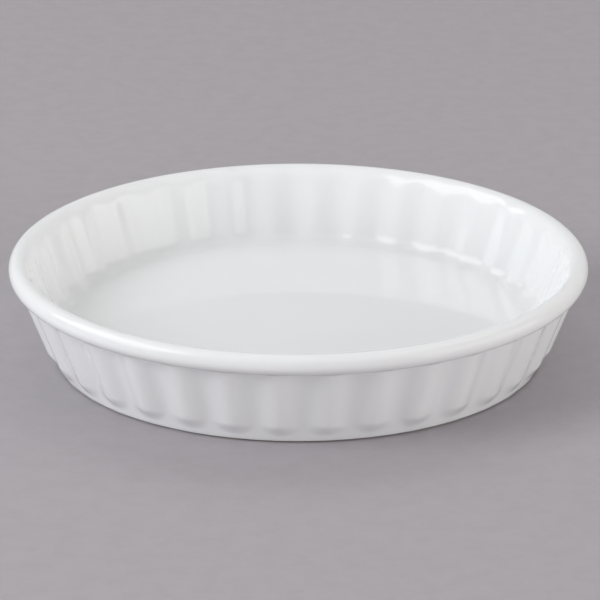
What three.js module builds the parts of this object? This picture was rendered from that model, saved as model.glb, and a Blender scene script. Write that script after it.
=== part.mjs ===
// A round, shallow crème brûlée dish of glazed porcelain: a flat floor on a bare foot ring, a fluted wall
// that leans outwards and a rounded bead for a rim. Millimetres, +Z up, origin at the middle of the base.
// The dish is one fired piece, so its nodes are its real layers: the porcelain body and the glaze on it.
import * as THREE from "three";
import { mergeGeometries, mergeVertices } from "three/addons/utils/BufferGeometryUtils.js";

// Driving dimensions
const RIM_DIAMETER = 125;
const TOTAL_HEIGHT = 22.4;
const BEAD_DIAMETER = 4.4;
const BASE_DIAMETER = 104.8; // where the line of the plain band reaches the table
const WALL_THICKNESS = 3; // measured level, glaze included
const FLOOR_THICKNESS = 4.5; // glaze included
const FLOOR_FILLET = 1.6; // round between the inner wall and the floor
const GLAZE_THICKNESS = 0.3;

// Foot ring and the recess inside it
const RECESS_DEPTH = 2.2;
const RECESS_LEAN = THREE.MathUtils.degToRad(30); // lean of the recess wall from upright
const FOOT_WIDTH = 4;
const FOOT_EDGE = 0.25; // bevel on both edges of the foot ring
const BARE_HEIGHT = 0.35; // the glaze is wiped off the foot up to here

// Flutes: outside each is a rounded lobe that runs up into the bead, and behind it, inside, a hollow channel
const FLUTE_COUNT = 35;
const LOBE_DEPTH = 1.2;
const CHANNEL_DEPTH = 1;
const FLUTE_CURVE = 2; // 1 makes a sharp valley between lobes, 2 a smooth wave
const LOBE_FOOT_HEIGHT = 1.4; // height of the plain band under the lobes
const LOBE_END = 3.2; // length over which the round lower end of a lobe dies away

// Facets
const SIDES_PER_FLUTE = 4;
const PLAIN_SIDES_PER_FLUTE = 2;
const ROUND_END_STEPS = 3;
const BEAD_LOWER_STEPS = 3;
const BEAD_UPPER_STEPS = 2;
const SHOULDER_STEPS = 3;
const FILLET_STEPS = 3;

// Values that follow from the sizes above
const BEAD_RADIUS = BEAD_DIAMETER / 2;
const BEAD_CENTRE = new THREE.Vector2((RIM_DIAMETER - BEAD_DIAMETER) / 2, TOTAL_HEIGHT - BEAD_RADIUS);
const WALL_SLOPE = (BEAD_CENTRE.x - BASE_DIAMETER / 2) / BEAD_CENTRE.y;
const WALL_LEAN = Math.atan(WALL_SLOPE);
const FLOOR_HEIGHT = RECESS_DEPTH + FLOOR_THICKNESS;
const FOOT_OUTER = BASE_DIAMETER / 2 - GLAZE_THICKNESS / Math.cos(WALL_LEAN); // the body without its glaze
const FOOT_INNER = FOOT_OUTER - FOOT_WIDTH;
const FULL_TURN = 2 * Math.PI;

// How much of a flute's depth there is at an angle round the dish. `end` runs from 0 along a lobe to 1 at
// its tip.
function fluteShare(angle, end) {
  const place = (angle * FLUTE_COUNT) / FULL_TURN;
  const across = 2 * Math.abs(place - Math.round(place));
  const away = Math.min(1, Math.hypot(across, end));
  return Math.cos((away * Math.PI) / 2) ** FLUTE_CURVE;
}

// A ring of points round the axis, starting at the front and turning to the right. A point of the section
// has its radius as x and its height as y.
function ring(sides, pointAt) {
  return Array.from({ length: sides }, (_, step) => {
    const angle = (step / sides) * FULL_TURN;
    const point = pointAt(angle);
    return new THREE.Vector3(point.x * Math.sin(angle), -point.x * Math.cos(angle), point.y);
  });
}

function plainRing(point) {
  return ring(FLUTE_COUNT * PLAIN_SIDES_PER_FLUTE, () => point);
}

// A ring that waves from one point of the section between two flutes to another in the middle of a flute.
function flutedRing(between, middle, end = 0) {
  return ring(FLUTE_COUNT * SIDES_PER_FLUTE, (angle) => between.clone().lerp(middle, fluteShare(angle, end)));
}

function movedOut(point, distance) {
  return new THREE.Vector2(point.x + distance, point.y);
}

// A point of the cone from the base to the middle of the bead, moved inwards.
function conePoint(height, inward) {
  return new THREE.Vector2(BEAD_CENTRE.x + (height - BEAD_CENTRE.y) * WALL_SLOPE - inward, height);
}

function axisPoint(height) {
  return [new THREE.Vector3(0, 0, height)];
}

// The triangles between two rings, which may have different numbers of points: each step goes along the ring
// that is further behind.
function band(from, to) {
  const triangles = [];
  let i = 0;
  let j = 0;
  while (i < from.length || j < to.length) {
    const here = from[i % from.length];
    const there = to[j % to.length];
    if ((i + 1) * to.length <= (j + 1) * from.length) {
      i += 1;
      triangles.push([here, from[i % from.length], there]);
    } else {
      j += 1;
      triangles.push([here, to[j % to.length], there]);
    }
  }
  return triangles.filter((corners) => new Set(corners).size === corners.length);
}

// The surface through a row of rings, seen from the side that lies to the right of the row as it climbs the
// outside of the dish. `turned` shows the other side.
function surface(rings, turned = false) {
  const triangles = rings.slice(1).flatMap((next, index) => band(rings[index], next));
  const corners = triangles.flatMap((triangle) => (turned ? triangle.toReversed() : triangle));
  return new THREE.BufferGeometry().setFromPoints(corners);
}

function solid(name, material, surfaces) {
  const mesh = new THREE.Mesh(mergeVertices(mergeGeometries(surfaces)), material);
  mesh.geometry.computeVertexNormals();
  mesh.name = name;
  return mesh;
}

// Outside of the wall, `inset` under the finished surface, from the edge of the glaze up to where the lobes
// have their full depth. The lobes stand on a plain cone.
function outerWall(inset) {
  const coneAt = (height) => conePoint(height, inset / Math.cos(WALL_LEAN));
  const lobeEnd = Array.from({ length: ROUND_END_STEPS }, (_, step) => {
    const share = (step + 1) / ROUND_END_STEPS;
    const point = coneAt(LOBE_FOOT_HEIGHT + share * LOBE_END);
    return flutedRing(point, movedOut(point, LOBE_DEPTH), 1 - share);
  });
  return [plainRing(coneAt(BARE_HEIGHT)), plainRing(coneAt(LOBE_FOOT_HEIGHT)), ...lobeEnd];
}

// The bead from the crease under it, where the lobes reach further round it than the valleys, to its top.
function bead(inset) {
  const radius = BEAD_RADIUS - inset;
  const arc = (start, end, steps) =>
    new THREE.EllipseCurve(BEAD_CENTRE.x, BEAD_CENTRE.y, radius, radius, start, end).getPoints(steps);
  const alongWall = -WALL_LEAN - Math.PI / 2;
  const creaseAt = (rise) => alongWall + Math.asin((rise * Math.cos(WALL_LEAN) - inset) / radius);
  const valley = arc(creaseAt(0), 0, BEAD_LOWER_STEPS);
  const crest = arc(creaseAt(LOBE_DEPTH), 0, BEAD_LOWER_STEPS);
  const underside = valley.slice(0, -1).map((point, index) => flutedRing(point, crest[index]));
  return [...underside, ...arc(0, Math.PI / 2, BEAD_UPPER_STEPS).map((point) => plainRing(point))];
}

// Inside of the dish from the round shoulder of the rim down to the middle of the floor.
function innerWall(inset) {
  const thickness = WALL_THICKNESS - inset / Math.cos(WALL_LEAN);
  const fluted = (point, depth) => flutedRing(point, movedOut(point, depth));

  // The shoulder is an ellipse about the middle of the bead that runs smoothly into the wall, and on it the
  // channels die away.
  const rise = BEAD_RADIUS - inset;
  const reach = Math.sqrt(thickness ** 2 - (WALL_SLOPE * rise) ** 2);
  const meeting = Math.PI - Math.asin((WALL_SLOPE * rise) / thickness);
  const ellipse = new THREE.EllipseCurve(BEAD_CENTRE.x, BEAD_CENTRE.y, reach, rise, Math.PI / 2, meeting);
  const shoulder = ellipse.getPoints(SHOULDER_STEPS).slice(1);
  const span = BEAD_CENTRE.x - shoulder.at(-1).x;
  const depthAt = (point) => CHANNEL_DEPTH * ((BEAD_CENTRE.x - point.x) / span) ** 2;

  // The fillet is an arc that touches the wall and the floor, and follows the channels.
  const floor = FLOOR_HEIGHT - inset;
  const radius = FLOOR_FILLET + inset;
  const middle = conePoint(floor, thickness).x - radius * Math.tan((Math.PI / 2 - WALL_LEAN) / 2);
  const arc = new THREE.EllipseCurve(middle, floor + radius, radius, radius, -WALL_LEAN, -Math.PI / 2, true);
  return [
    ...shoulder.map((point) => fluted(point, depthAt(point))),
    ...arc.getPoints(FILLET_STEPS).map((point) => fluted(point, CHANNEL_DEPTH)),
    axisPoint(floor),
  ];
}

// Everything the upper glaze covers, from its edge above the foot to the middle of the floor.
function glazedSide(inset) {
  return [...outerWall(inset), ...bead(inset), ...innerWall(inset)];
}

// The recess under the floor, `inset` under its finished surface, from its middle to the edge of its glaze.
function recess(inset) {
  const ceiling = RECESS_DEPTH + inset;
  const inward = (GLAZE_THICKNESS - inset) / Math.cos(RECESS_LEAN);
  const wallAt = (height) => new THREE.Vector2(FOOT_INNER - height * Math.tan(RECESS_LEAN) - inward, height);
  return [axisPoint(ceiling), plainRing(wallAt(ceiling)), plainRing(wallAt(BARE_HEIGHT))];
}

// The bare foot ring: bevelled edges and a flat face on the table.
function footRing() {
  return [
    new THREE.Vector2(FOOT_INNER - FOOT_EDGE * Math.tan(RECESS_LEAN), FOOT_EDGE),
    new THREE.Vector2(FOOT_INNER + FOOT_EDGE, 0),
    new THREE.Vector2(FOOT_OUTER - FOOT_EDGE, 0),
    new THREE.Vector2(FOOT_OUTER + FOOT_EDGE * WALL_SLOPE, FOOT_EDGE),
  ].map((point) => plainRing(point));
}

const upperFace = glazedSide(0);
const upperJoin = glazedSide(GLAZE_THICKNESS);
const recessFace = recess(0);
const recessJoin = recess(GLAZE_THICKNESS);

const barePorcelain = new THREE.MeshStandardMaterial({ color: 0xe8e3d9, roughness: 0.8, metalness: 0 });
const whiteGlaze = new THREE.MeshStandardMaterial({ color: 0xf3f3f1, roughness: 0.12, metalness: 0 });
const undersideGlaze = new THREE.MeshStandardMaterial({ color: 0xf1f1ee, roughness: 0.16, metalness: 0 });

const dish = new THREE.Group();
dish.add(
  solid("porcelain_body", barePorcelain, [surface([...recessJoin, ...footRing(), ...upperJoin])]),
  solid("glaze_coat", whiteGlaze, [
    surface(upperFace),
    surface(upperJoin, true),
    surface([upperJoin[0], upperFace[0]]),
  ]),
  solid("base_glaze", undersideGlaze, [
    surface(recessFace),
    surface(recessJoin, true),
    surface([recessFace.at(-1), recessJoin.at(-1)]),
  ]),
);

export default dish;
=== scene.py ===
"""Looks of a round, shallow crème brûlée dish of white glazed porcelain on a plain studio floor.

Everything is in metres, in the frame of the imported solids: +Z up along the dish's axis, the origin
in the middle of the base and one lobe of the fluted wall facing -Y. Angles round the dish start at
-Y and turn towards +X.
"""

import logging
import math
from abc import ABC, abstractmethod
from dataclasses import dataclass
from enum import Enum
from typing import Any, Union

import bmesh
import bpy
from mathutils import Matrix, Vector, noise


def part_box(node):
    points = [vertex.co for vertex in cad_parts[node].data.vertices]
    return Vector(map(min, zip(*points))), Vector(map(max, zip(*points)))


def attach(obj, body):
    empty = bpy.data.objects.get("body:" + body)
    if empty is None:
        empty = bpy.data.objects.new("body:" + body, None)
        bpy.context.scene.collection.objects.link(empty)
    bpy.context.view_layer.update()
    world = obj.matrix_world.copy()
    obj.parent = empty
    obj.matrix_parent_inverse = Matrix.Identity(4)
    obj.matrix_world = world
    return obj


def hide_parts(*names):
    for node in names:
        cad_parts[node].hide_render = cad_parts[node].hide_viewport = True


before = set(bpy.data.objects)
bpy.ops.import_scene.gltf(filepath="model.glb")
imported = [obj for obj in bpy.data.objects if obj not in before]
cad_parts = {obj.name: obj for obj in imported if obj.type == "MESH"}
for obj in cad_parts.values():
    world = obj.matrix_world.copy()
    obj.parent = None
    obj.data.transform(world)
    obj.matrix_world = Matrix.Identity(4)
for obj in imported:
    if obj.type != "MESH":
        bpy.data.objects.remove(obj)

Colour = tuple[float, float, float, float]
Span = tuple[float, float]
Operand = Union["Value", float]

LOG = logging.getLogger("dish")
BODY = "root"
AXIS = Vector((0.0, 0.0, 1.0))
ORIGIN = Vector((0.0, 0.0, 0.0))

# Tolerances and steps of the meshes
MERGE_DISTANCE = 2e-6
CIRCLE_TOLERANCE = 0.01  # share of a bevel's width
BEVEL_SEGMENTS = 4
LEAST_STEPS = 2

RIPPLE_HEIGHT = 0.00003  # of the fired glaze's surface, to either side
UNDERSIDE_GLOSS = 0.09

# Sockets of a Mix node that mixes colours
MIX_SHARE, MIX_FIRST, MIX_SECOND, MIX_RESULT = 0, 6, 7, 2
SHARP_STEP = 0.001  # width of a step that is all but sharp


class Layer(Enum):
    """The layers of the dish, named as the solids that they stand for."""

    PORCELAIN = "porcelain_body"
    COAT = "glaze_coat"
    UNDERSIDE = "base_glaze"


class Slot(Enum):
    """The record's material slots."""

    BARE = "bare_porcelain"
    WHITE = "white_glaze"
    UNDERSIDE = "underside_glaze"


class Carried(Enum):
    """What vertices carry: the moves of their section points, and how deep the glaze has pooled."""

    OUT = "move_out"
    UP = "move_up"
    END = "round_end"
    GLAZE_DEPTH = "glaze_depth"


class LampUse(Enum):
    """What a lamp is for: to light the dish, or to shine in its glaze."""

    LIGHT = "light"
    SHINE = "shine"


class Tint(Enum):
    """The tints of the lamps' light."""

    PLAIN = (1.0, 1.0, 1.0)
    COOL = (0.98, 1.0, 1.02)
    WARM = (1.02, 1.0, 0.96)


class Detail(Enum):
    """How finely a section is stepped: in full where it shows, coarsely where it is covered."""

    SHOWN = 1.0
    COVERED = 0.25

    def steps(self, full: int) -> int:
        """The number of steps for a stretch that has `full` of them where it shows."""
        return max(LEAST_STEPS, round(full * self.value))


@dataclass(frozen=True)
class SectionPoint:
    """A point of the dish's section.

    It lies between two flutes, and `out` and `up` are its move to the middle of a flute. `end`
    is 0 along a flute and rises to 1 at the tip of its round lower end.
    """

    radius: float
    height: float
    out: float = 0.0
    up: float = 0.0
    end: float = 0.0


def spaced(start: float, stop: float, steps: int) -> list[float]:
    """Values in equal steps from start to stop, both included."""
    return [start + (stop - start) * step / steps for step in range(steps + 1)]


def arc(centre: Span, radii: Span, start: float, stop: float, steps: int) -> list[SectionPoint]:
    """Points on an arc of a circle or an ellipse in the section.

    Args:
        centre: radius and height of the arc's centre.
        radii: half axes along the radius and the height.
        start: angle of the first point, from the outward direction towards up.
        stop: angle of the last point.
        steps: number of equal steps between them.

    Returns:
        The points from start to stop, both included.
    """
    return [
        SectionPoint(centre[0] + radii[0] * math.cos(a), centre[1] + radii[1] * math.sin(a))
        for a in spaced(start, stop, steps)
    ]


def paired(between: list[SectionPoint], middle: list[SectionPoint]) -> list[SectionPoint]:
    """Joins a stretch of section between two flutes with the same stretch in the middle of one.

    Args:
        between: the points between two flutes.
        middle: the same points in the middle of a flute.

    Returns:
        The points between two flutes, each with its move to the other place.
    """
    return [
        SectionPoint(b.radius, b.height, m.radius - b.radius, m.height - b.height)
        for b, m in zip(between, middle, strict=True)
    ]


@dataclass(frozen=True)
class Flutes:
    """The flutes round the wall: outside each is a lobe, and inside, behind it, a hollow channel."""

    count: int = 35
    lobe_depth: float = 0.0012
    channel_depth: float = 0.0007
    curve: float = 2.0
    unevenness: float = 0.035
    uneven_rates: Span = (2.4, 1.1)
    steps_each: int = 24

    @property
    def pitch(self) -> float:
        """Angle from one flute to the next."""
        return math.tau / self.count

    def share(self, angle: float, end: float) -> float:
        """How much of a flute's depth there is at a place.

        Args:
            angle: angle round the dish.
            end: how far along the flute's round end, as in SectionPoint.

        Returns:
            Up to 1 in the middle of a flute, a little less on some, as the mould left them, and 0
            between two.
        """
        place = angle / self.pitch
        number = round(place) % self.count
        away = min(1.0, math.hypot(2 * (place - round(place)), end))
        fast, slow = (rate * number for rate in self.uneven_rates)
        uneven = 1 - self.unevenness * (0.5 + 0.5 * math.sin(fast) * math.cos(slow))
        return uneven * math.cos(away * math.pi / 2) ** self.curve


@dataclass(frozen=True)
class StepCounts:
    """How many steps each stretch of the section has where it shows."""

    lobe_end: int = 12
    outer_wall: int = 4
    crease: int = 6
    bead_under: int = 10
    bead_top: int = 10
    shoulder: int = 14
    inner_wall: int = 4
    floor_fillet: int = 14
    floor: int = 4


@dataclass(frozen=True)
class DishForm:
    """The dish's sizes and its layers' sections. The fields without a value come from the frame."""

    rim_radius: float
    height: float
    glaze: float
    bare_height: float
    recess_depth: float
    bead_radius: float = 0.0022
    base_radius: float = 0.0524
    wall: float = 0.003
    floor_thickness: float = 0.0045
    shoulder: float = 0.0095
    floor_fillet: float = 0.0034
    crease_fillet: float = 0.0013
    recess_lean: float = math.radians(30)
    recess_fillet: float = 0.0008
    foot_width: float = 0.004
    foot_edge: float = 0.00015
    foot_undercut: float = 0.0014
    lobe_foot: float = 0.0012
    lobe_end: float = 0.0036
    flutes: Flutes = Flutes()
    counts: StepCounts = StepCounts()

    @classmethod
    def from_frame(cls) -> "DishForm":
        """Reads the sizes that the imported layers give.

        Returns:
            The form, with room in the layers' box for the ripple of the glaze on the rim.
        """
        coat_low, coat_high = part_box(Layer.COAT.value)
        body_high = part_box(Layer.PORCELAIN.value)[1]
        glaze = coat_high.z - body_high.z
        reach = min(coat_high.x, -coat_low.x, coat_high.y, -coat_low.y)
        return cls(
            rim_radius=reach - RIPPLE_HEIGHT,
            height=coat_high.z,
            glaze=glaze,
            bare_height=coat_low.z,
            recess_depth=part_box(Layer.UNDERSIDE.value)[1].z - glaze,
        )

    @property
    def bead_centre(self) -> Span:
        """Radius and height of the middle of the rim's bead."""
        return self.rim_radius - self.bead_radius, self.height - self.bead_radius

    @property
    def slope(self) -> float:
        """How much the wall leans out for each unit of height."""
        radius, height = self.bead_centre
        return (radius - self.base_radius) / height

    @property
    def lean(self) -> float:
        """The wall's lean from upright."""
        return math.atan(self.slope)

    @property
    def floor_height(self) -> float:
        """Height of the floor inside the dish."""
        return self.recess_depth + self.floor_thickness

    @property
    def foot_outer(self) -> float:
        """Radius where the body's own outer face would reach the table."""
        return self.base_radius - self.glaze / math.cos(self.lean)

    def cone(self, height: float, inward: float) -> float:
        """Radius of the plain wall at a height, `inward` along the radius from its outer face."""
        radius, middle = self.bead_centre
        return radius + (height - middle) * self.slope - inward

    def outer_wall(self, inset: float, detail: Detail) -> list[SectionPoint]:
        """The outside from the edge of the glaze up to the fillet under the bead.

        Args:
            inset: depth of this surface under the finished one.
            detail: how finely it is stepped.

        Returns:
            The section's points from the bottom to the top.
        """
        inward = inset / math.cos(self.lean)
        steps = detail.steps(self.counts.lobe_end)
        low = self.lobe_foot + self.lobe_end
        ends = zip(spaced(self.lobe_foot, low, steps), spaced(1.0, 0.0, steps), strict=True)
        top = self.crease(inset, 0.0, detail)[0].height
        straight = spaced(low, top, detail.steps(self.counts.outer_wall))[1:-1]
        depth = self.flutes.lobe_depth
        return [
            SectionPoint(self.cone(self.bare_height, inward), self.bare_height),
            *[SectionPoint(self.cone(h, inward), h, depth, end=end) for h, end in ends],
            *[SectionPoint(self.cone(h, inward), h, depth) for h in straight],
        ]

    def crease(self, inset: float, rise: float, detail: Detail) -> list[SectionPoint]:
        """The fillet that the glaze leaves under the bead, and the bead's underside.

        Args:
            inset: depth of this surface under the finished one.
            rise: how far the wall stands out here, along the radius.
            detail: how finely it is stepped.

        Returns:
            The section's points from the wall to the bead's outermost line.
        """
        centre = self.bead_centre
        radius = self.bead_radius - inset
        fillet = self.crease_fillet + inset
        beside = fillet - inset + rise * math.cos(self.lean)
        along = math.sqrt((radius + fillet) ** 2 - beside**2)
        fillet_centre = (
            centre[0] - along * math.sin(self.lean) + beside * math.cos(self.lean),
            centre[1] - along * math.cos(self.lean) - beside * math.sin(self.lean),
        )
        to_bead = math.atan2(centre[1] - fillet_centre[1], centre[0] - fillet_centre[0])
        steps = detail.steps(self.counts.crease)
        under = arc(fillet_centre, (fillet, fillet), math.pi - self.lean, to_bead, steps)
        steps = detail.steps(self.counts.bead_under)
        return [*under, *arc(centre, (radius, radius), to_bead - math.pi, 0.0, steps)[1:]]

    def rim(self, inset: float, detail: Detail) -> list[SectionPoint]:
        """The bead from the fillet under it to its top.

        Args:
            inset: depth of this surface under the finished one.
            detail: how finely it is stepped.

        Returns:
            The section's points from the wall to the top of the rim.
        """
        radius = self.bead_radius - inset
        crest = self.crease(inset, self.flutes.lobe_depth, detail)
        lower = paired(self.crease(inset, 0.0, detail), crest)
        steps = detail.steps(self.counts.bead_top)
        return [*lower, *arc(self.bead_centre, (radius, radius), 0.0, math.pi / 2, steps)[1:]]

    def inner_wall(self, inset: float, detail: Detail) -> list[SectionPoint]:
        """The inside from the round shoulder of the rim down to the middle of the floor.

        Args:
            inset: depth of this surface under the finished one.
            detail: how finely it is stepped.

        Returns:
            The section's points from the rim to the axis.
        """
        depth = self.flutes.channel_depth
        inward = self.wall - inset / math.cos(self.lean)

        # The shoulder is an ellipse that runs smoothly into the wall. On it the channels die away.
        top = self.bead_centre[0]
        middle = self.height - self.shoulder
        away = top - self.cone(middle, inward)
        rise = self.shoulder - inset
        reach = math.sqrt(away**2 - (self.slope * rise) ** 2)
        meeting = math.pi - math.asin(self.slope * rise / away)
        steps = detail.steps(self.counts.shoulder)
        rounded = arc((top, middle), (reach, rise), math.pi / 2, meeting, steps)[1:]
        span = top - rounded[-1].radius
        shoulder = [
            SectionPoint(p.radius, p.height, depth * ((top - p.radius) / span) ** 2) for p in rounded
        ]

        # The fillet is an arc that touches the wall and the floor, and it follows the channels.
        floor = self.floor_height - inset
        radius = self.floor_fillet + inset
        turn = math.pi / 2 - self.lean
        centre = (self.cone(floor, inward) - radius * math.tan(turn / 2), floor + radius)
        steps = detail.steps(self.counts.floor_fillet)
        corner = arc(centre, (radius, radius), -self.lean, -math.pi / 2, steps)
        fillet = [SectionPoint(p.radius, p.height, depth) for p in corner]

        steps = detail.steps(self.counts.inner_wall)
        heights = spaced(shoulder[-1].height, fillet[0].height, steps)[1:-1]
        wall = [SectionPoint(self.cone(h, inward), h, depth) for h in heights]
        rings = [SectionPoint(r, floor) for r in spaced(centre[0], 0.0, self.counts.floor)[1:]]
        return [*shoulder, *wall, *fillet, *rings]

    def glazed_side(self, inset: float, detail: Detail) -> list[SectionPoint]:
        """Everything under the upper glaze, from its edge above the foot to the floor's middle."""
        outside = [*self.outer_wall(inset, detail), *self.rim(inset, detail)]
        return [*outside, *self.inner_wall(inset, detail)]

    def recess(self, inset: float) -> list[SectionPoint]:
        """The recess under the floor.

        Args:
            inset: depth of this surface under the finished one.

        Returns:
            Four points: the middle, one half way out, the corner and the edge of the glaze.
        """
        ceiling = self.recess_depth + inset
        bare = (self.glaze - inset) / math.cos(self.recess_lean)
        foot_inner = self.foot_outer - self.foot_width

        def wall(height: float) -> float:
            """Radius of the recess's leaning wall at a height."""
            return foot_inner - height * math.tan(self.recess_lean) - bare

        return [
            SectionPoint(0.0, ceiling),
            SectionPoint(wall(ceiling) / 2, ceiling),
            SectionPoint(wall(ceiling), ceiling),
            SectionPoint(wall(self.bare_height), self.bare_height),
        ]

    def foot_ring(self) -> list[SectionPoint]:
        """The bare foot ring's two sharp corners. The outer one stands back under the glaze."""
        inner, outer = self.foot_outer - self.foot_width, self.foot_outer - self.foot_undercut
        return [SectionPoint(inner, 0.0), SectionPoint(outer, 0.0)]


@dataclass(frozen=True)
class Lathe:
    """Turns a section about the dish's axis and presses the flutes into it."""

    form: DishForm
    ripple: float = RIPPLE_HEIGHT
    ripple_length: float = 0.016

    def turn(self, section: list[SectionPoint]) -> bmesh.types.BMesh:
        """Spins a section whose ends lie on the axis: one flute wide, then flute by flute all round.

        Args:
            section: the points of the section, in order.

        Returns:
            A closed mesh with its faces pointing out. Its vertices carry their points' moves.
        """
        mesh = bmesh.new()
        floats = mesh.verts.layers.float
        layers = [floats.new(kind.value) for kind in (Carried.OUT, Carried.UP, Carried.END)]
        points = []
        for point in section:
            vertex = mesh.verts.new((0.0, -point.radius, point.height))
            for layer, value in zip(layers, (point.out, point.up, point.end), strict=True):
                vertex[layer] = value
            points.append(vertex)
        edges = [mesh.edges.new(pair) for pair in zip(points, points[1:])]
        flutes = self.form.flutes
        bmesh.ops.spin(
            mesh, geom=[*points, *edges], cent=ORIGIN, axis=AXIS,
            angle=flutes.pitch, steps=flutes.steps_each,
        )
        bmesh.ops.spin(
            mesh, geom=[*mesh.verts, *mesh.edges, *mesh.faces], cent=ORIGIN, axis=AXIS,
            angle=math.tau - flutes.pitch, steps=flutes.count - 1, use_duplicate=True,
        )
        bmesh.ops.remove_doubles(mesh, verts=mesh.verts[:], dist=MERGE_DISTANCE)
        bmesh.ops.recalc_face_normals(mesh, faces=mesh.faces[:])
        return mesh

    def round_edge(self, mesh: bmesh.types.BMesh, corner: SectionPoint, width: float) -> None:
        """Rounds the sharp circle that a corner of the section has left.

        Args:
            mesh: the turned mesh.
            corner: the section's point.
            width: how far the round reaches along both faces.
        """
        tolerance = width * CIRCLE_TOLERANCE

        def on_circle(vertex: bmesh.types.BMVert) -> bool:
            """Whether a vertex lies on the circle."""
            off = abs(vertex.co.z - corner.height), abs(vertex.co.xy.length - corner.radius)
            return max(off) < tolerance

        edges = [edge for edge in mesh.edges if all(on_circle(v) for v in edge.verts)]
        bmesh.ops.bevel(
            mesh, geom=edges, offset=width, affect="EDGES", segments=BEVEL_SEGMENTS,
            profile=0.5, material=-1,
        )

    def press_flutes(self, mesh: bmesh.types.BMesh) -> None:
        """Moves the wall out along its flutes, with the faint ripple of a fired glaze.

        Args:
            mesh: the turned mesh.
        """
        flutes = self.form.flutes
        floats = mesh.verts.layers.float
        out, up, end = (floats[kind.value] for kind in (Carried.OUT, Carried.UP, Carried.END))
        glaze_depth = floats.new(Carried.GLAZE_DEPTH.value)
        for vertex in mesh.verts:
            if vertex.co.xy.length < MERGE_DISTANCE:
                continue
            share = flutes.share(math.atan2(vertex.co.x, -vertex.co.y), vertex[end])
            outward = Vector((vertex.co.x, vertex.co.y, 0.0)).normalized()
            ripple = self.ripple * noise.noise(vertex.co / self.ripple_length)
            vertex[glaze_depth] = (1 - share) * vertex[out] / flutes.lobe_depth
            vertex.co += outward * (vertex[out] * share + ripple) + AXIS * (vertex[up] * share)


class Value:
    """A number in a shader. Expressions on values add the Math nodes that work them out."""

    def __init__(self, shader: "Shader", socket: bpy.types.NodeSocket) -> None:
        """Wraps a socket of a shader's node tree."""
        self.shader = shader
        self.socket = socket

    def math(self, operation: str, *operands: Operand) -> "Value":
        """Adds a Math node for an operation on these operands, and gives its result."""
        settings, inputs = {"operation": operation}, dict(enumerate(operands))
        return Value(self.shader, self.shader.node("ShaderNodeMath", settings, inputs).outputs[0])

    def __add__(self, other: Operand) -> "Value":
        """This value plus another."""
        return self.math("ADD", self, other)

    def __radd__(self, other: Operand) -> "Value":
        """Another plus this value."""
        return self.math("ADD", other, self)

    def __sub__(self, other: Operand) -> "Value":
        """This value less another."""
        return self.math("SUBTRACT", self, other)

    def __rsub__(self, other: Operand) -> "Value":
        """Another less this value."""
        return self.math("SUBTRACT", other, self)

    def __mul__(self, other: Operand) -> "Value":
        """This value times another."""
        return self.math("MULTIPLY", self, other)

    def __rmul__(self, other: Operand) -> "Value":
        """Another times this value."""
        return self.math("MULTIPLY", other, self)

    def between(self, low: float, high: float) -> "Value":
        """Adds a smooth step.

        Args:
            low: where the step starts, at 0.
            high: where it ends, at 1. It may be the smaller of the two.

        Returns:
            The step of this value.
        """
        node = self.shader.node(
            "ShaderNodeMapRange",
            {"interpolation_type": "SMOOTHSTEP"},
            {"Value": self, "From Min": low, "From Max": high, "To Min": 0.0, "To Max": 1.0},
        )
        return Value(self.shader, node.outputs[0])


@dataclass(frozen=True)
class Patches:
    """A soft noise with patches of about a length. With a span, it steps from 0 to 1 over it."""

    length: float
    detail: float = 2.0
    roughness: float = 0.5
    span: Span | None = None


@dataclass(frozen=True)
class Specks:
    """Round specks. Their places are about `spacing` apart, and a share of them is taken."""

    spacing: float
    radius: float
    share: float


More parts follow.
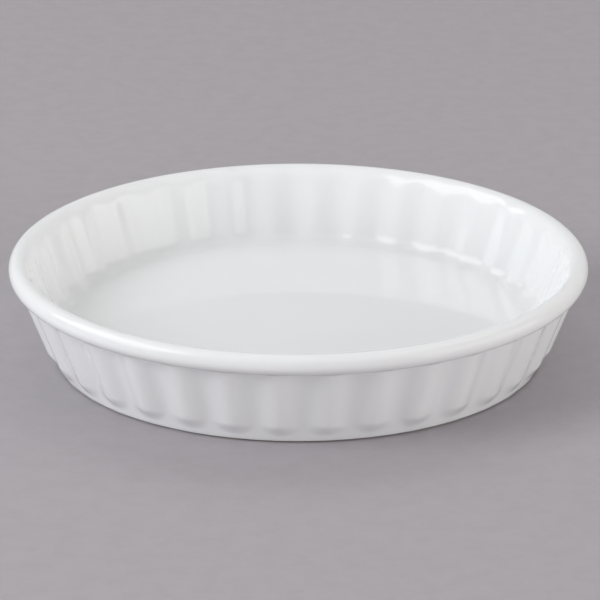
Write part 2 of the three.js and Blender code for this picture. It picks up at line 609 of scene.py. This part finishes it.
class Shader:
    """The node tree of a material or a world under construction."""

    def __init__(self, owner: bpy.types.Material | bpy.types.World) -> None:
        """Empties the node tree of its owner.

        Args:
            owner: the material or the world.
        """
        owner.use_nodes = True
        self.owner = owner
        self.tree = owner.node_tree
        self.tree.nodes.clear()

    def node(
        self,
        kind: str,
        settings: dict[str, Any] | None = None,
        inputs: dict[Any, Any] | None = None,
    ) -> bpy.types.Node:
        """Adds a node.

        Args:
            kind: the node's type.
            settings: its properties, set first.
            inputs: the values or links of its sockets, by name or number.

        Returns:
            The node.
        """
        node = self.tree.nodes.new(kind)
        for name, value in (settings or {}).items():
            setattr(node, name, value)
        for name, value in (inputs or {}).items():
            socket = value.socket if isinstance(value, Value) else value
            if isinstance(socket, bpy.types.NodeSocket):
                self.tree.links.new(socket, node.inputs[name])
            else:
                node.inputs[name].default_value = socket
        return node

    def place(self) -> bpy.types.NodeSocket:
        """Object coordinates, in metres."""
        return self.node("ShaderNodeTexCoord").outputs["Object"]

    def attribute(self, carried: Carried) -> Value:
        """A number that the mesh carries at its vertices."""
        settings = {"attribute_name": carried.value}
        return Value(self, self.node("ShaderNodeAttribute", settings).outputs["Fac"])

    def noise(self, patches: Patches) -> Value:
        """Adds a soft noise.

        Args:
            patches: the noise's sizes.

        Returns:
            The noise, about 0.5 if it has no span.
        """
        inputs = {
            "Vector": self.place(),
            "Scale": 1 / patches.length,
            "Detail": patches.detail,
            "Roughness": patches.roughness,
        }
        value = Value(self, self.node("ShaderNodeTexNoise", None, inputs).outputs["Fac"])
        return value.between(*patches.span) if patches.span else value

    def specks(self, specks: Specks) -> Value:
        """Adds round specks.

        Args:
            specks: the specks' sizes.

        Returns:
            1 in the middle of a speck and 0 outside it.
        """
        inputs = {"Vector": self.place(), "Scale": 1 / specks.spacing}
        cells = self.node("ShaderNodeTexVoronoi", None, inputs)
        chance = self.node("ShaderNodeSeparateColor", None, {"Color": cells.outputs["Color"]})
        taken = Value(self, chance.outputs[0]).between(specks.share + SHARP_STEP, specks.share)
        away = Value(self, cells.outputs["Distance"])
        return away.between(specks.radius / specks.spacing, 0.0) * taken

    def mix(self, share: Operand, first: Any, second: Any) -> bpy.types.NodeSocket:
        """A colour between two, given as colours or links."""
        inputs = {MIX_SHARE: share, MIX_FIRST: first, MIX_SECOND: second}
        return self.node("ShaderNodeMix", {"data_type": "RGBA"}, inputs).outputs[MIX_RESULT]

    def bump(self, height: Value, distance: float) -> bpy.types.NodeSocket:
        """A normal tilted by a height that is given in shares of `distance`."""
        inputs = {"Height": height, "Distance": distance, "Strength": 1.0}
        return self.node("ShaderNodeBump", None, inputs).outputs["Normal"]

    def background(self, strength: float) -> bpy.types.NodeSocket:
        """A room's even light."""
        return self.node("ShaderNodeBackground", None, {"Strength": strength}).outputs[0]

    def surface(self, **inputs: Any) -> bpy.types.Material:
        """Ends the material in a Principled shader.

        Args:
            inputs: the shader's sockets by name, with underscores for spaces.

        Returns:
            The material.
        """
        sockets = {name.replace("_", " "): value for name, value in inputs.items()}
        shader = self.node("ShaderNodeBsdfPrincipled", None, sockets)
        self.node("ShaderNodeOutputMaterial", None, {"Surface": shader.outputs[0]})
        return self.owner


def colour(red: float, green: float, blue: float) -> Colour:
    """An opaque colour, in linear light."""
    return red, green, blue, 1.0


@dataclass(frozen=True)
class GlazeFinish:
    """Glossy white glaze: cooler where it has pooled, with a faint ripple and a few pinholes."""

    name: str
    gloss: float = 0.012
    gloss_change: float = 0.02
    smear: Patches = Patches(0.012, detail=4.0, span=(0.4, 0.75))
    ior: float = 1.52
    white: Colour = colour(0.855, 0.86, 0.868)
    pooled: Colour = colour(0.80, 0.812, 0.83)
    pooled_span: Span = (0.3, 1.0)
    pooled_share: float = 0.3
    cloud: Patches = Patches(0.022, span=(0.45, 0.75))
    cloud_share: float = 0.25
    speck: Colour = colour(0.42, 0.38, 0.33)
    specks: Specks = Specks(spacing=0.012, radius=0.00022, share=0.06)
    speck_share: float = 0.5
    speck_dip: float = 1.5
    ripple: Patches = Patches(0.007, detail=1.0)
    ripple_height: float = 0.00001
    peel: Patches = Patches(0.0011, detail=1.0)
    peel_share: float = 0.05

    def material(self) -> bpy.types.Material:
        """Builds the material.

        Returns:
            The material, new.
        """
        shader = Shader(bpy.data.materials.new(self.name))
        depth = shader.attribute(Carried.GLAZE_DEPTH).between(*self.pooled_span)
        pooled = depth * self.pooled_share + shader.noise(self.cloud) * self.cloud_share
        specks = shader.specks(self.specks)
        tone = shader.mix(pooled, self.white, self.pooled)
        tone = shader.mix(specks * self.speck_share, tone, self.speck)
        relief = shader.noise(self.ripple) + shader.noise(self.peel) * self.peel_share
        return shader.surface(
            Base_Color=tone,
            Roughness=self.gloss + self.gloss_change * shader.noise(self.smear),
            IOR=self.ior,
            Normal=shader.bump(relief - specks * self.speck_dip, self.ripple_height),
        )


@dataclass(frozen=True)
class BarePorcelainFinish:
    """Bare fired porcelain: matt, with a fine grain and the grey rub of shelves on the foot."""

    name: str
    roughness: float = 0.68
    roughness_change: float = 0.2
    clay: Colour = colour(0.82, 0.81, 0.78)
    toasted: Colour = colour(0.78, 0.74, 0.67)
    toast: Patches = Patches(0.009, span=(0.4, 0.75))
    toast_share: float = 0.6
    rubbed: Colour = colour(0.52, 0.51, 0.50)
    rub: Patches = Patches(0.004, detail=6.0, roughness=0.7, span=(0.55, 0.7))
    rub_share: float = 0.35
    grain: Patches = Patches(0.00035, detail=3.0, roughness=0.7)
    grain_height: float = 0.00003

    def material(self) -> bpy.types.Material:
        """Builds the material.

        Returns:
            The material, new.
        """
        shader = Shader(bpy.data.materials.new(self.name))
        tone = shader.mix(shader.noise(self.toast) * self.toast_share, self.clay, self.toasted)
        tone = shader.mix(shader.noise(self.rub) * self.rub_share, tone, self.rubbed)
        grain = shader.noise(self.grain)
        return shader.surface(
            Base_Color=tone,
            Roughness=self.roughness + grain * self.roughness_change,
            Normal=shader.bump(grain, self.grain_height),
        )


@dataclass(frozen=True)
class FloorFinish:
    """Matt, pale grey studio paper."""

    name: str
    roughness: float = 0.75
    roughness_change: float = 0.1
    pale: Colour = colour(0.410, 0.384, 0.408)
    mottled: Colour = colour(0.389, 0.364, 0.387)
    mottle: Patches = Patches(0.005, detail=6.0, roughness=0.65, span=(0.35, 0.7))
    fibre: Patches = Patches(0.0012, detail=3.0)
    fibre_height: float = 0.00003

    def material(self) -> bpy.types.Material:
        """Builds the material.

        Returns:
            The material, new.
        """
        shader = Shader(bpy.data.materials.new(self.name))
        fibre = shader.noise(self.fibre)
        return shader.surface(
            Base_Color=shader.mix(shader.noise(self.mottle), self.pale, self.mottled),
            Roughness=self.roughness + fibre * self.roughness_change,
            Normal=shader.bump(fibre, self.fibre_height),
        )


@dataclass(frozen=True)
class DishLayer(ABC):
    """One layer of the dish: its mesh, its finish and the solid that it stands for."""

    layer: Layer
    slot: Slot
    form: DishForm
    finish: GlazeFinish | BarePorcelainFinish

    @abstractmethod
    def model(self) -> bmesh.types.BMesh:
        """Models the layer's closed mesh."""

    def build(self) -> bpy.types.Object:
        """Makes the layer's object, at the origin.

        Returns:
            The object, smooth shaded and without a material.
        """
        model = self.model()
        mesh = bpy.data.meshes.new(f"{self.layer.value}_mesh")
        model.to_mesh(mesh)
        model.free()
        mesh.polygons.foreach_set("use_smooth", [True] * len(mesh.polygons))
        piece = bpy.data.objects.new(f"dish_{self.layer.value}", mesh)
        bpy.context.scene.collection.objects.link(piece)
        return piece

    def dress(self, piece: bpy.types.Object) -> None:
        """Gives a piece its finish and puts it in its solid's place.

        Args:
            piece: the object that build has made.
        """
        piece.data.materials.append(self.finish.material())
        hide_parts(self.layer.value)
        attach(piece, BODY)


@dataclass(frozen=True)
class PorcelainBody(DishLayer):
    """The fired clay, bare under the foot ring only."""

    def model(self) -> bmesh.types.BMesh:
        """Turns the body and rounds both edges of its foot ring.

        Returns:
            The body's mesh.
        """
        form = self.form
        lathe = Lathe(form)
        foot = form.foot_ring()
        covered = form.glazed_side(form.glaze, Detail.COVERED)
        mesh = lathe.turn([*form.recess(form.glaze), *foot, *covered])
        for corner in foot:
            lathe.round_edge(mesh, corner, form.foot_edge)
        lathe.press_flutes(mesh)
        return mesh


@dataclass(frozen=True)
class GlazeCoat(DishLayer):
    """The glaze over the outside, the rim, the inner wall and the floor."""

    rolled_edge: float = 0.00012

    def model(self) -> bmesh.types.BMesh:
        """Turns the glaze's shell and rolls its edge above the foot.

        Returns:
            The glaze's mesh.
        """
        form = self.form
        lathe = Lathe(form)
        face = form.glazed_side(0.0, Detail.SHOWN)
        join = form.glazed_side(form.glaze, Detail.COVERED)
        mesh = lathe.turn([*reversed(join), *face])
        for edge in (join[0], face[0]):
            lathe.round_edge(mesh, edge, self.rolled_edge)
        lathe.press_flutes(mesh)
        return mesh


@dataclass(frozen=True)
class UndersideGlaze(DishLayer):
    """The glaze in the recess under the floor, inside the foot ring."""

    rolled_edge: float = 0.00012

    def model(self) -> bmesh.types.BMesh:
        """Turns the glaze's shell, fills the recess's corner and rolls the glaze's edge.

        Returns:
            The glaze's mesh.
        """
        form = self.form
        lathe = Lathe(form)
        face = form.recess(0.0)
        join = form.recess(form.glaze)
        mesh = lathe.turn([*face, *reversed(join)])
        *_, corner, face_edge = face
        lathe.round_edge(mesh, corner, form.recess_fillet)
        for edge in (join[-1], face_edge):
            lathe.round_edge(mesh, edge, self.rolled_edge)
        lathe.press_flutes(mesh)
        return mesh


def towards(azimuth: float, elevation: float) -> Vector:
    """A direction away from the dish.

    Args:
        azimuth: angle round the dish, in degrees.
        elevation: angle above the floor, in degrees.

    Returns:
        The direction, one metre long.
    """
    around, up = math.radians(azimuth), math.radians(elevation)
    level = math.cos(up)
    return Vector((math.sin(around) * level, -math.cos(around) * level, math.sin(up)))


@dataclass(frozen=True)
class Lamp:
    """A soft rectangular studio lamp that faces the dish. Its angles are in degrees."""

    name: str
    azimuth: float
    elevation: float
    width: float
    height: float
    watts: float
    tint: Tint
    use: LampUse = LampUse.LIGHT
    distance: float = 1.3

    def build(self) -> None:
        """Hangs the lamp. Its use says whether it counts for diffuse or for mirrored light."""
        light = bpy.data.lights.new(self.name, "AREA")
        light.shape = "RECTANGLE"
        light.size = self.width
        light.size_y = self.height
        light.energy = self.watts
        light.color = self.tint.value
        lamp = bpy.data.objects.new(self.name, light)
        place = towards(self.azimuth, self.elevation) * self.distance
        lamp.location = place
        lamp.rotation_mode = "QUATERNION"
        lamp.rotation_quaternion = (-place).to_track_quat("-Z", "Y")
        lamp.visible_diffuse = self.use is LampUse.LIGHT
        lamp.visible_glossy = self.use is LampUse.SHINE
        bpy.context.scene.collection.objects.link(lamp)


@dataclass(frozen=True)
class Studio:
    """The floor, the lamps, the room's own light and the camera."""

    floor_half: float = 3.0
    room_around: float = 0.04
    room_behind: float = 0.76
    behind_span: Span = (0.05, 0.95)
    room_above: float = 0.62
    above_span: Span = (0.57, 0.82)
    camera_azimuth: float = 4.1
    camera_elevation: float = 21.25
    camera_distance: float = 0.875
    focal_pixels: float = 4023.0
    frame_pixels: float = 600.0
    sensor: float = 36.0
    base_pixel: Span = (298.4, 350.1)
    lamps: tuple[Lamp, ...] = (
        Lamp("key_light", -60.0, 34.0, 0.70, 0.58, 7.9, Tint.COOL),
        Lamp("left_light", -85.0, 11.0, 1.50, 0.46, 4.7, Tint.COOL),
        Lamp("right_light", 85.0, 11.0, 1.50, 0.46, 5.7, Tint.WARM),
        Lamp("high_light", 60.0, 22.0, 0.95, 0.65, 2.9, Tint.WARM),
        Lamp("front_light", 0.0, 12.0, 1.50, 0.45, 4.3, Tint.PLAIN),
        Lamp("back_light", 180.0, 55.0, 1.50, 0.70, 3.6, Tint.PLAIN),
        Lamp("left_softbox", -84.0, 42.0, 1.32, 0.80, 7.2, Tint.PLAIN, LampUse.SHINE),
        Lamp("right_panel", 79.0, 15.0, 1.44, 0.65, 4.6, Tint.PLAIN, LampUse.SHINE),
    )

    def lay_floor(self) -> None:
        """Lays the floor that the dish stands on."""
        mesh = bmesh.new()
        bmesh.ops.create_grid(mesh, x_segments=1, y_segments=1, size=self.floor_half)
        data = bpy.data.meshes.new("studio_floor_mesh")
        mesh.to_mesh(data)
        mesh.free()
        floor = bpy.data.objects.new("studio_floor", data)
        floor.data.materials.append(FloorFinish("studio_paper").material())
        bpy.context.scene.collection.objects.link(floor)

    def light(self) -> None:
        """Hangs the lamps and sets the room's own light, which is brighter behind and above."""
        for lamp in self.lamps:
            lamp.build()
        room = Shader(bpy.data.worlds.new("studio_room"))
        gaze = room.node("ShaderNodeTexCoord").outputs["Generated"]
        _, back, up = room.node("ShaderNodeSeparateXYZ", None, {"Vector": gaze}).outputs
        tone = room.background(self.room_around)
        for side, span, strength in (
            (back, self.behind_span, self.room_behind),
            (up, self.above_span, self.room_above),
        ):
            inputs = {0: Value(room, side).between(*span), 1: tone, 2: room.background(strength)}
            tone = room.node("ShaderNodeMixShader", None, inputs).outputs[0]
        room.node("ShaderNodeOutputWorld", None, {"Surface": tone})
        bpy.context.scene.world = room.owner

    def set_camera(self) -> None:
        """Sets the camera where the photograph was taken, turned to frame the dish as it does."""
        data = bpy.data.cameras.new("studio_camera")
        data.sensor_width = self.sensor
        data.lens = self.focal_pixels / self.frame_pixels * self.sensor
        camera = bpy.data.objects.new("studio_camera", data)
        back = towards(self.camera_azimuth, self.camera_elevation)
        camera.location = back * self.camera_distance
        right = AXIS.cross(back).normalized()
        up = back.cross(right)
        middle = self.frame_pixels / 2
        across, below = ((pixel - middle) / self.focal_pixels for pixel in self.base_pixel)
        gaze = -back - right * across + up * below
        camera.rotation_mode = "QUATERNION"
        camera.rotation_quaternion = gaze.to_track_quat("-Z", "Y")
        bpy.context.scene.collection.objects.link(camera)
        bpy.context.scene.camera = camera
        bpy.context.scene.view_settings.view_transform = "Standard"

    def build(self) -> None:
        """Builds the whole studio."""
        self.lay_floor()
        self.light()
        self.set_camera()


def main() -> None:
    """Builds the dish layer by layer, then the studio."""
    logging.basicConfig(level=logging.INFO, format="%(name)s: %(message)s")
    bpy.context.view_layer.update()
    form = DishForm.from_frame()
    bare = BarePorcelainFinish("bare_porcelain_finish")
    white = GlazeFinish("white_glaze_finish")
    underside = GlazeFinish("underside_glaze_finish", gloss=UNDERSIDE_GLOSS)
    layers = (
        PorcelainBody(Layer.PORCELAIN, Slot.BARE, form, bare),
        GlazeCoat(Layer.COAT, Slot.WHITE, form, white),
        UndersideGlaze(Layer.UNDERSIDE, Slot.UNDERSIDE, form, underside),
    )
    for layer in layers:
        piece = layer.build()
        layer.dress(piece)
        LOG.info("%s: %d faces, for %s", piece.name, len(piece.data.polygons), layer.layer.value)
    Studio().build()


if __name__ == "__main__":
    main()
